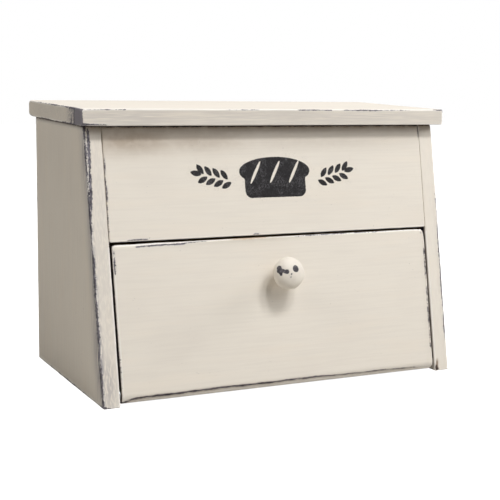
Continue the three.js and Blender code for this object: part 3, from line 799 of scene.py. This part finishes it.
def earDistance(x, y):
    # pairs of grains up a rising stalk, and one at the tip, each its own hole in the stencil
    length = motif["grainLength"]
    width = motif["grainWidth"]
    run = motif["earTo"] - motif["earFrom"] - length
    rising = math.atan2(motif["earRise"], run)
    fromFoot = x - motif["earFrom"]
    overFoot = y + motif["earRise"] / 2
    along = fromFoot * math.cos(rising) + overFoot * math.sin(rising)
    across = overFoot * math.cos(rising) - fromFoot * math.sin(rising)
    distance = leafDistance(along - run - length * 0.62, across, length, width)
    pitch = run / motif["grains"]
    for i in range(motif["grains"]):
        for side in (-1, 1):
            foot = motif["firstGrain"] + i * pitch + (pitch / 2 if side > 0 else 0.0)
            turn = side * motif["grainLean"]
            gx = along - foot
            gy = across - side * motif["bridge"]
            u = gx * math.cos(turn) + gy * math.sin(turn) - length / 2
            v = gy * math.cos(turn) - gx * math.sin(turn)
            distance = np.minimum(distance, leafDistance(u, v, length, width))
    return distance


def designDistance(points):
    x = points[:, 0] - motif["centreX"]
    y = points[:, 2] - motif["centreUp"]
    return np.minimum(loafDistance(x, y), earDistance(np.abs(x), y))


# the upper panel and the door are measured (x, depth in, up the slope)
panelFacts = {
    "ease": 1.1,
    "rubBase": -1.6,
    "dense": 0.85,       # grid step over the stencil
    "denseEnds": (9.0, 7.0),   # how far past the stencil that goes, sideways and up
    "leanEnds": (40.0, 12.0),  # a painted shade line under the overhang: undercoat this far down from the top
    "shadeLineMm": 1.4,     # under the overhang, where the white brush did not reach
    "gapMm": 0.8,        # in the gap over the door, past which the undercoat shows, as painted shade in the gap
    "highlightMm": 5.0,       # a painted highlight runs along the lower edge only, up to this height
    "paintedInMm": 6.0,  # how far the paint comes up the inner face
    # how far the painted shade reaches down from the overhang, and spots of it, darkest towards the left
    "shadeMm": 8.8,
    "dustAndShade": [((-165, 0, 279), (60, 30, 15), 0.58), ((-90, 0, 278), (70, 30, 13), 0.38),
              ((60, 0, 277), (130, 30, 11), 0.18)],
    "rub": [((-197, 0, 240), (2.4, 3, 22), 0.9), ((-197, 0, 205), (2.4, 3, 22), 0.9),
            ((197, 0, 286), (2.4, 3, 8), 1.8)],
    # streaks along the lower edge and beside the sides, as (x, up) runs
    "streaks": [(-178.0, 173.4, -152.0, 173.6, 0.9, 0.3), (-30.0, 173.2, -22.0, 173.4, 0.8, 0.4),
                (196.0, 292.0, 196.1, 275.0, 0.9, 0.0), (-196.2, 262.0, -196.2, 246.0, 0.6, 0.1),
                (-196.1, 232.0, -196.2, 214.0, 0.7, 0.1), (-195.8, 196.0, -190.0, 195.6, 0.4, 0.2)],
}


def makeUpperPanel():
    low, high = boxMm("upper_front_panel", leaning=True)
    # the top is cut level: the block is as tall as the panel's front face, and leans up towards the back
    rise = math.tan(frontLean)
    block = np.array([high[0], high[1], high[2] - (high[1] - low[1]) * rise])
    span = motif["earTo"] + panelFacts["denseEnds"][0]
    reach = motif["loafHeight"] / 2 + panelFacts["denseEnds"][1]
    dense = (((motif["centreX"] - span, motif["centreX"] + span, panelFacts["dense"]),), (),
             ((motif["centreUp"] - reach, motif["centreUp"] + reach, panelFacts["dense"]),))
    board = roundedBoard(low, block, boardRows(low, block, 1, dense), panelFacts["ease"], (), 51)
    solid = board["solid"].copy()
    leanFrom, leanTo = panelFacts["leanEnds"]
    leaning = smoothStep(solid[:, 2], low[2] + leanFrom, block[2] - leanTo)
    solid[:, 2] += (solid[:, 1] - low[1]) * rise * leaning
    flat = board["flat"]
    out = board["out"]
    onFace = out[:, 1] < -0.9
    fields = wearFields(board, panelFacts)
    worn = np.where(onFace, strokeField(flat[:, [0, 2]], panelFacts["streaks"]), noWear)
    # a painted shade line of undercoat under the overhang, and undercoat under the panel as painted shade in
    # the gap over the door
    worn = np.maximum(worn, flat[:, 2] - (block[2] - panelFacts["shadeLineMm"]))
    worn = np.where(out[:, 2] < -squarely, flat[:, 1] - panelFacts["gapMm"], worn)
    addWorn(fields, worn, 0.35)
    # painted shade down from the overhang
    dustShadeShare = overhangShade(block[2] - flat[:, 2], panelFacts["shadeMm"])
    fields["dustAndShade"] = np.maximum(fields["dustAndShade"], dustShadeShare)
    # a painted highlight along the lower edge
    fromFoot = flat[:, 2] - low[2]
    fields["arrisMm"] = np.where(fromFoot > panelFacts["highlightMm"], -noWear, fromFoot)
    fields["coverMm"] = np.where(out[:, 1] > squarely, panelFacts["paintedInMm"] - fromFoot, wellPainted)
    fields["designMm"] = np.where(onFace, designDistance(flat), wellPainted)
    return makePiece("upper_panel_board", fromFront(solid * mm), board["quads"], paintStencilled, "case",
                     ["upper_front_panel"], fields)


makeUpperPanel()

doorFacts = {
    "ease": 1.5,
    "rubBase": -2.0,
    "gapMm": 2.2,          # past this the edges facing the gap have undercoat only, as painted shade in the gaps
    "paintedInMm": 5.0,    # how far the paint comes round on to the inner face
    "round": [((194.6, 0, 170), (9, 20, 9), 4.2), ((-194.6, 0, 170), (60, 9, 9), 4.55),
              ((-120, 0, 170), (60, 9, 9), 3.2)],
    "rub": [((70, 0, 170), (46, 4, 4), 0.8), ((118, 0, 170), (30, 4, 4), 0.9),
            ((192, 0, 166), (5, 5, 4), 1.9), ((194.6, 0, 147), (3, 4, 5), 1.0),
            ((194.6, 0, 124), (3, 4, 7), 0.9), ((194.6, 0, 60), (3, 4, 26), 0.4),
            ((-194.6, 0, 40), (3, 4, 30), 0.1)],
    "bare": [((-34, 0, 170), (46, 5, 5), 2.6)],
    # brown: painted shade in the gap at the right end and along the top
    "dustAndShade": [((194.6, 0, 130), (3, 5, 50), 0.4), ((194.6, 0, 60), (3, 5, 50), 0.5),
              ((-30, 0, 170), (60, 5, 4), 0.35)],
    # streaks on the face, as (x, up) runs: under the top arris, and down beside both ends
    "streaks": [(-170.0, 166.4, -124.0, 167.4, 0.8, 0.2), (-136.0, 167.2, -110.0, 167.2, 1.1, -0.1),
                (-118.0, 167.8, -86.0, 169.2, 0.7, 0.2), (-193.3, 164.0, -193.2, 151.0, 0.9, 0.2),
                (-193.2, 152.0, -193.3, 139.0, 1.2, -0.2), (186.0, 168.6, 193.6, 163.0, 0.9, -0.8),
                (22.0, 168.9, 60.0, 169.2, 0.5, 0.2), (192.9, 150.0, 192.9, 112.0, 0.35, 0.0),
                (192.9, 100.0, 192.8, 28.0, 0.35, 0.1)],
    "footRows": (16.0, 0.7),   # the rounded foot has rows this close, up to this height
    # the sanded line along the bottom, where the face turns under: half the length of the face, the line's
    # heights over that length and its ends, where it dives under at the left, and its half width
    "line": {"half": 194.6, "middle": 9.3, "left": 8.4, "right": 7.2, "leftEnd": -194.0, "rightEnd": 164.0,
             "diveFrom": -178.0, "diveOver": 16.0, "dive": 4.6, "wideLeft": 1.05, "wideRight": 0.55},
    "lineDust": 0.4,
    "highlightShare": 0.32,         # the painted highlight on the rounded foot is brightest at the counter, and less so upwards
    "fleckX": 191.5,           # paint edges are ragged past this
}


def bottomLine(x, up):
    # inside the sanded line, which bows gently up in the middle and dives under at its left end: its half
    # width, less the distance up or down to it, less a little for each millimetre past its ends
    line = doorFacts["line"]
    share = np.clip((x + line["half"]) / (2 * line["half"]), 0.0, 1.0)
    height = line["middle"] - (line["middle"] - line["left"]) * np.clip(1 - 3.2 * share, 0, 1) ** 1.5
    height = height - (line["middle"] - line["right"]) * np.clip(2.4 * share - 1.4, 0, 1) ** 1.3
    height = height - line["dive"] * np.clip((line["diveFrom"] - x) / line["diveOver"], 0, 1) ** 1.5
    height = height + 0.25 * np.sin(x / 17.0) + 0.15 * np.sin(x / 6.3 + 1.0)
    wide = line["wideLeft"] + (line["wideRight"] - line["wideLeft"]) * smoothStep(share, 0.35, 0.75)
    wide = wide * (1.0 - 0.35 * (1.0 + np.sin(x / 11.0)) / 2 * smoothStep(share, 0.5, 0.8))
    past = np.maximum(np.maximum(line["leftEnd"] - x, x - line["rightEnd"]), 0.0)
    return wide - np.abs(up - height) - 0.06 * past


def makeDoor():
    low, high = boxMm("drop_door", leaning=True)
    pinUp = toFront(np.array([frame["joints"][0]["pos_m"]], float))[0, 2] / mm
    half = (high[1] - low[1]) / 2
    footTop, footStep = doorFacts["footRows"]
    rows = boardRows(low, high, 1, ((), (), ((low[2], low[2] + footTop, footStep),)))
    board = roundedBoard(low, high, rows, doorFacts["ease"], doorFacts["round"], 61)
    flat = board["flat"]
    out = board["out"]
    solid = board["solid"].copy()
    # below the pins the square block is drawn into a half round: across * sqrt(1 - down^2 / 2), and
    # down * sqrt(1 - across^2 / 2), which turns a square into a disc
    across = (solid[:, 1] - low[1]) / half - 1.0
    down = np.clip((pinUp - solid[:, 2]) / half, 0.0, 1.0)
    solid[:, 1] = low[1] + half + half * across * np.sqrt(1.0 - down ** 2 / 2)
    solid[:, 2] = np.where(down > 0, pinUp - half * down * np.sqrt(1.0 - across ** 2 / 2), solid[:, 2])

    # the bottom has no arris left to wear, so only the ends and the top count
    endGap = np.minimum(flat[:, 0] - low[0], high[0] - flat[:, 0])
    topGap = high[2] - flat[:, 2]
    backGap = np.minimum(flat[:, 1] - low[1], high[1] - flat[:, 1])
    onFace = np.abs(out[:, 1]) > 0.6
    nearer = np.where(onFace, np.minimum(endGap, topGap), backGap)
    board["edgeGap"] = cornerGap(nearer, np.maximum(endGap, topGap))
    fields = wearFields(board, doorFacts)
    front = across < -0.05
    edges = (np.abs(out[:, 0]) > squarely) | (out[:, 2] > squarely)
    worn = np.where(out[:, 1] < -0.6, strokeField(flat[:, [0, 2]], doorFacts["streaks"]), noWear)
    worn = np.maximum(worn, np.where(front, bottomLine(flat[:, 0], solid[:, 2]), noWear))
    # the edges facing the gaps show undercoat: painted shade
    worn = np.where(edges, flat[:, 1] - low[1] - doorFacts["gapMm"], worn)
    addWorn(fields, worn, np.where(np.abs(flat[:, 0]) < doorFacts["fleckX"], 0.4, 1.0))
    # brown dust lies in the line and softly below it, and brown painted shade in the gaps round the door
    line = np.where(front, bottomLine(flat[:, 0], solid[:, 2] + 0.5), noWear)
    lineDust = doorFacts["lineDust"] * smoothStep(line, -1.4, 0.2)
    gapShadeShare = np.where(edges, 0.6 * smoothStep(worn, -1.0, 1.0), 0.0)
    fields["dustAndShade"] = np.maximum.reduce([fields["dustAndShade"], lineDust, gapShadeShare])
    # a painted highlight on the rounded foot, brightest at the counter
    footHighlight = np.minimum(fields["arrisMm"], doorFacts["highlightShare"] * (solid[:, 2] - low[2]))
    fields["arrisMm"] = np.where(front, footHighlight, fields["arrisMm"])
    insideBy = np.minimum.reduce([endGap, topGap, flat[:, 2] - low[2]])
    fields["coverMm"] = np.where(out[:, 1] > squarely, doorFacts["paintedInMm"] - insideBy, wellPainted)
    return makePiece("door_board", fromFront(solid * mm), board["quads"], paintAcross, "door",
                     ["drop_door"], fields)


makeDoor()
print("front made")


def spun(profile, sides):
    # each (radius, height) row of a profile as a circle of points: (radius cos, radius sin, height)
    angles = np.linspace(0.0, 2.0 * math.pi, sides, endpoint=False)
    return np.stack([np.outer(profile[:, 0], np.cos(angles)), np.outer(profile[:, 0], np.sin(angles)),
                     np.repeat(profile[:, 1][:, None], sides, 1)], -1)


def turnedMesh(ring):
    # the points and faces of a spun profile whose first and last rows lie on the axis: one point stands for
    # each of those rows, with a fan of triangles round it, and quads join the rows between
    rows, sides = ring.shape[:2]
    points = np.concatenate([ring[0, :1], ring[1:-1].reshape(-1, 3), ring[-1, :1]])
    number = 1 + np.arange((rows - 2) * sides).reshape(rows - 2, sides)
    after = np.roll(number, -1, 1)
    foot = np.stack([np.zeros(sides, int), after[0], number[0]], -1)
    quads = np.stack([number[:-1], after[:-1], after[1:], number[1:]], -1).reshape(-1, 4)
    crown = np.stack([number[-1], after[-1], np.full(sides, len(points) - 1)], -1)
    return points, foot.tolist() + quads.tolist() + crown.tolist()


def curvePoints(start, startPull, endPull, end, count):
    # a cubic curve: start * (1 - t)^3 + 3 startPull * t (1 - t)^2 + 3 endPull * t^2 (1 - t) + end * t^3
    t = np.linspace(0.0, 1.0, count)[1:, None]
    a, b, c, d = (np.array(p, float) for p in (start, startPull, endPull, end))
    return a * (1 - t) ** 3 + 3 * b * t * (1 - t) ** 2 + 3 * c * t ** 2 * (1 - t) + d * t ** 3


knobFacts = {
    # radii, and heights over the face of the door
    "foot": 9.5, "footTop": 1.6, "neck": 7.4, "neckAt": 4.0, "flare": 10.35, "flareAt": 9.1,
    "widestAt": 18.0,
    "flarePull": 3.6,      # how far the curve runs straight on through the flare
    "flareSlope": 0.64,    # and how steeply, in radians
    "fullness": 0.62,      # of the ball's crown: 0.55 would be a true ellipse
    "sides": 96,
    # chips as (degrees to the right, degrees up, radius in mm) on the ball
    "chips": [(-65, 21, 3.0), (-60, 14, 2.7), (-66, 10, 2.2), (-49, 11, 2.2), (-34, 6.5, 2.5),
              (-41, 8, 2.1), (-57, -4, 1.3), (-58, 3, 2.1), (-30, 12, 1.2), (12.5, 21.5, 3.4),
              (15, 16.5, 3.3), (11, 18, 3.2), (-12.5, -5.3, 0.8), (-11.5, -2.0, 0.5), (-16.5, -18, 0.7),
              (-24, -9, 0.4)],
}


def chipDistance(points):
    # how far inside the nearest chip: its radius less the arc from its middle to the point, over the ball
    away = points - np.array([0.0, 0.0, knobFacts["widestAt"]])
    reach = np.linalg.norm(away, axis=1)
    inside = np.full(len(points), noWear)
    for turn, tilt, radius in knobFacts["chips"]:
        a = math.radians(turn)
        e = math.radians(tilt)
        way = np.array([math.sin(a) * math.cos(e), math.sin(e), math.cos(a) * math.cos(e)])
        arc = np.arccos(np.clip(away @ way / reach, -1.0, 1.0)) * reach
        inside = np.maximum(inside, radius - arc)
    return np.where(points[:, 2] > knobFacts["flareAt"], inside, noWear)


def makeKnob():
    low, high = boxMm("door_knob", leaning=True)
    radius = (high[0] - low[0]) / 2
    tall = high[1] - low[1]
    k = knobFacts
    foot, footTop, widest = k["foot"], k["footTop"], k["widestAt"]
    flare = np.array([k["flare"], k["flareAt"]])
    pull = k["flarePull"] * np.array([math.cos(k["flareSlope"]), math.sin(k["flareSlope"])])
    profile = np.concatenate([
        [[0.0, 0.0], [foot * 0.5, 0.0], [foot - 0.5, 0.0], [foot - 0.1, 0.15], [foot, 0.5],
         [foot, footTop - 0.4], [foot - 0.2, footTop]],
        curvePoints((foot - 0.2, footTop), (k["neck"], k["neckAt"]), flare - pull, flare, 12),
        curvePoints(flare, flare + pull, (radius, (widest + k["flareAt"]) / 2), (radius, widest), 16),
        curvePoints((radius, widest), (radius, widest + k["fullness"] * (tall - widest)),
                    (radius * k["fullness"], tall), (0.0, tall), 30)])
    profile[:, 0] *= 0.999
    points, faces = turnedMesh(spun(profile, k["sides"]))
    # its axis comes straight out of the face of the door
    axisUp = (low[2] + high[2]) / 2
    placed = np.column_stack([points[:, 0], high[1] - points[:, 2], axisUp + points[:, 1]])
    return makePiece("turned_knob", fromFront(placed * mm), faces, knobFinish, "door", ["door_knob"],
                     {"chipMm": chipDistance(points)})


makeKnob()

screwFacts = {"shank": 2.0, "headTall": 2.5, "dome": 1.1, "slotHalf": 0.55, "slotLong": 2.1, "slotDeep": 1.3,
              "sides": 96}


def crossRecess(ring):
    # presses a cross into the crown of the head: as deep as slotDeep where either arm covers the point
    f = screwFacts
    x, y, z = ring[..., 0], ring[..., 1], ring[..., 2]
    onCrown = z > z.max() - f["dome"] - 0.05
    arm = np.minimum(np.abs(x), np.abs(y))
    press = smoothStep(-arm, -f["slotHalf"] - 0.18, -f["slotHalf"] + 0.1)
    press = press * smoothStep(-np.hypot(x, y), -f["slotLong"] - 0.15, -f["slotLong"] + 0.35)
    out = ring.copy()
    out[..., 2] = z - np.where(onCrown, press * f["slotDeep"], 0.0)
    return out


def makeKnobScrew():
    low, high = boxMm("knob_screw", leaning=True)
    f = screwFacts
    length = high[1] - low[1]
    seat = length - f["headTall"]
    headRadius = (high[0] - low[0]) / 2
    rim = headRadius - 0.02
    shank = f["shank"]
    angle = np.linspace(0.0, math.pi / 2, 26)[1:]
    crown = np.column_stack([rim * np.cos(angle), length - f["dome"] + f["dome"] * np.sin(angle)])
    crown[-1, 0] = 0.0
    profile = np.concatenate([
        [[0.0, 0.0], [shank * 0.6, 0.0], [shank, 1.0], [shank, seat - 0.2], [shank + 0.2, seat],
         [headRadius - 0.3, seat], [rim, seat + 0.3], [rim, length - f["dome"]]], crown])
    points, faces = turnedMesh(crossRecess(spun(profile, f["sides"])))
    axisUp = (low[2] + high[2]) / 2
    placed = np.column_stack([points[:, 0], low[1] + points[:, 2], axisUp - points[:, 1]])
    return makePiece("knob_screw_pan_head", fromFront(placed * mm), faces, zincSteel, "door", ["knob_screw"])


makeKnobScrew()

washerFacts = {"ease": 0.16, "slack": 0.02, "sides": 72}


def ringProfile(inner, outer, thick, ease):
    # the section of a washer, round its middle: a rectangle with eased corners, closed on itself
    rows = []
    for i, (r, z, inR, inZ) in enumerate([(inner, 0, 1, 1), (outer, 0, -1, 1),
                                          (outer, thick, -1, -1), (inner, thick, 1, -1)]):
        upright = (r, z + inZ * ease)
        level = (r + inR * ease, z)
        cut = (r + inR * ease * 0.3, z + inZ * ease * 0.3)
        rows += [upright, cut, level] if i % 2 == 0 else [level, cut, upright]
    return np.array(rows, float) - (0.0, thick / 2)


def makeWasher(name, node, axis, holeRadius, body):
    # axis 1 is a washer flat on the door, axis 0 one on a pin
    low, high = boxMm(node, leaning=True)
    thick = (high - low)[axis]
    outer = max(high - low) / 2 - washerFacts["slack"]
    ring = spun(ringProfile(holeRadius, outer, thick, washerFacts["ease"]), washerFacts["sides"])
    number = np.arange(ring.shape[0] * ring.shape[1]).reshape(ring.shape[:2])
    after = np.roll(number, -1, 0)
    quads = np.stack([number, np.roll(number, -1, 1), np.roll(after, -1, 1), after], -1).reshape(-1, 4)
    x, y, z = ring.reshape(-1, 3).T
    local = np.column_stack([x, -z, y] if axis == 1 else [z, x, y])
    placed = fromFront((local + (low + high) / 2) * mm)
    return makePiece(name, placed, quads, zincSteel, body, [node])


makeWasher("knob_screw_flat_washer", "knob_screw_washer", 1, 2.3, "door")
for hand in ("left", "right"):
    makeWasher(f"{hand}_pivot_spacer", f"pivot_washer_{hand}", 0, 2.8, "case")

# nails and pins are the right shape already, and take drawn steel
for name, node in frame["nodes"].items():
    if "nail" in name or name.startswith("pivot_pin"):
        node.data.materials.clear()
        node.data.materials.append(wireSteel)
print("turned pieces and steel made")


# the room: a paper floor, a faint white room round it, and the camera
stageFacts = {
    "floorSize": 9.0,     # metres
    "floor": "#BDBAB4",
    "floorGlow": 1.05,
    "world": 0.03,        # the room's own light
    "lampDistance": 3.4,
    "view": {"azimuth": -27.92, "elevation": 10.88, "roll": 1.52, "aim": (0.0374, -0.0310, 0.0992),
             "distance": 1.4092, "lens": 86.33, "sensor": 36.0, "shiftX": -0.07, "shiftY": 0.07},
}


def makeFloor():
    half = stageFacts["floorSize"] / 2
    mesh = bpy.data.meshes.new("studio_floor")
    corners = [(-half, -half, 0), (half, -half, 0), (half, half, 0), (-half, half, 0)]
    mesh.from_pydata(corners, [], [(0, 1, 2, 3)])
    floor = bpy.data.objects.new("studio_floor", mesh)
    bpy.context.scene.collection.objects.link(floor)
    # paper lit well past white where it is looked at, and a pale grey in the light it sends back
    material, tree = newMaterial("white_paper_sweep")
    seen = addNode(tree, "LightPath", output="Is Camera Ray")
    glow = addNode(tree, "Math", {0: seen, 1: stageFacts["floorGlow"]}, operation="MULTIPLY")
    shader = addNode(tree, "BsdfPrincipled", {
        "Base Color": linearColour(stageFacts["floor"]), "Roughness": 0.9, "Specular IOR Level": 0.1,
        "Emission Color": (1, 1, 1, 1), "Emission Strength": glow})
    addNode(tree, "OutputMaterial", {0: shader})
    mesh.materials.append(material)


def makeWorld():
    # an even white room: bright to look at, and only a little light by itself
    world = bpy.data.worlds.new("white_room")
    world.use_nodes = True
    tree = world.node_tree
    tree.nodes.clear()
    seen = addNode(tree, "LightPath", output="Is Camera Ray")
    strength = addNode(tree, "Math", {0: seen, 1: 1.0 - stageFacts["world"], 2: stageFacts["world"]},
                       operation="MULTIPLY_ADD")
    room = addNode(tree, "Background", {0: (1, 1, 1, 1), 1: strength})
    addNode(tree, "OutputWorld", {0: room})
    bpy.context.scene.world = world


lamps = {
    # azimuth from the front towards the right, elevation, size in metres, watts, colour
    "key": {"azimuth": 9.0, "elevation": 59.0, "size": 0.5, "watts": 33.2, "tint": "#FFFFFF"},
    "second": {"azimuth": 33.0, "elevation": 54.0, "size": 0.6, "watts": 33.2, "tint": "#FFFFFF"},
    "fill": {"azimuth": 24.0, "elevation": 39.0, "size": 1.8, "watts": 33.0, "tint": "#FFFFFF"},
    "right": {"azimuth": 79.0, "elevation": 30.0, "size": 1.3, "watts": 36.0, "tint": "#FFFFFF"},
    "left": {"azimuth": -84.0, "elevation": 37.0, "size": 1.3, "watts": 29.0, "tint": "#FFFBF5"},
    "overhead": {"azimuth": 180.0, "elevation": 60.0, "size": 1.3, "watts": 37.0, "tint": "#FFFFFF"},
}


def wayTo(azimuth, elevation):
    # the unit vector from the box: azimuth from the front towards the right, elevation up, in degrees
    a = math.radians(azimuth)
    e = math.radians(elevation)
    return Vector((math.sin(a) * math.cos(e), -math.cos(a) * math.cos(e), math.sin(e)))


def makeLamp(name, facts):
    back = wayTo(facts["azimuth"], facts["elevation"])
    light = bpy.data.lights.new(f"{name}_softbox", "AREA")
    light.shape = "DISK"
    light.size = facts["size"]
    light.energy = facts["watts"]
    light.color = linearColour(facts["tint"])[:3]
    lamp = bpy.data.objects.new(f"{name}_softbox", light)
    lamp.location = Vector((0, 0, 0.15)) + back * stageFacts["lampDistance"]
    lamp.rotation_euler = (-back).to_track_quat("-Z", "Y").to_euler()
    bpy.context.scene.collection.objects.link(lamp)


def makeCamera():
    view = stageFacts["view"]
    roll = math.radians(view["roll"])
    back = wayTo(view["azimuth"], view["elevation"])
    right = wayTo(view["azimuth"] + 90.0, 0.0)
    up = back.cross(right)
    rolledRight = right * math.cos(roll) + up * math.sin(roll)
    rolledUp = up * math.cos(roll) - right * math.sin(roll)
    data = bpy.data.cameras.new("camera")
    data.lens = view["lens"]
    data.sensor_width = view["sensor"]
    data.shift_x = view["shiftX"]
    data.shift_y = view["shiftY"]
    camera = bpy.data.objects.new("camera", data)
    turn = Matrix((rolledRight, rolledUp, back)).transposed().to_4x4()
    camera.matrix_world = Matrix.Translation(Vector(view["aim"]) + back * view["distance"]) @ turn
    bpy.context.scene.collection.objects.link(camera)
    bpy.context.scene.camera = camera


makeFloor()
makeWorld()
for lampName, lampFacts in lamps.items():
    makeLamp(lampName, lampFacts)
makeCamera()
bpy.context.scene.view_settings.view_transform = "Standard"
print("floor, light and camera made")
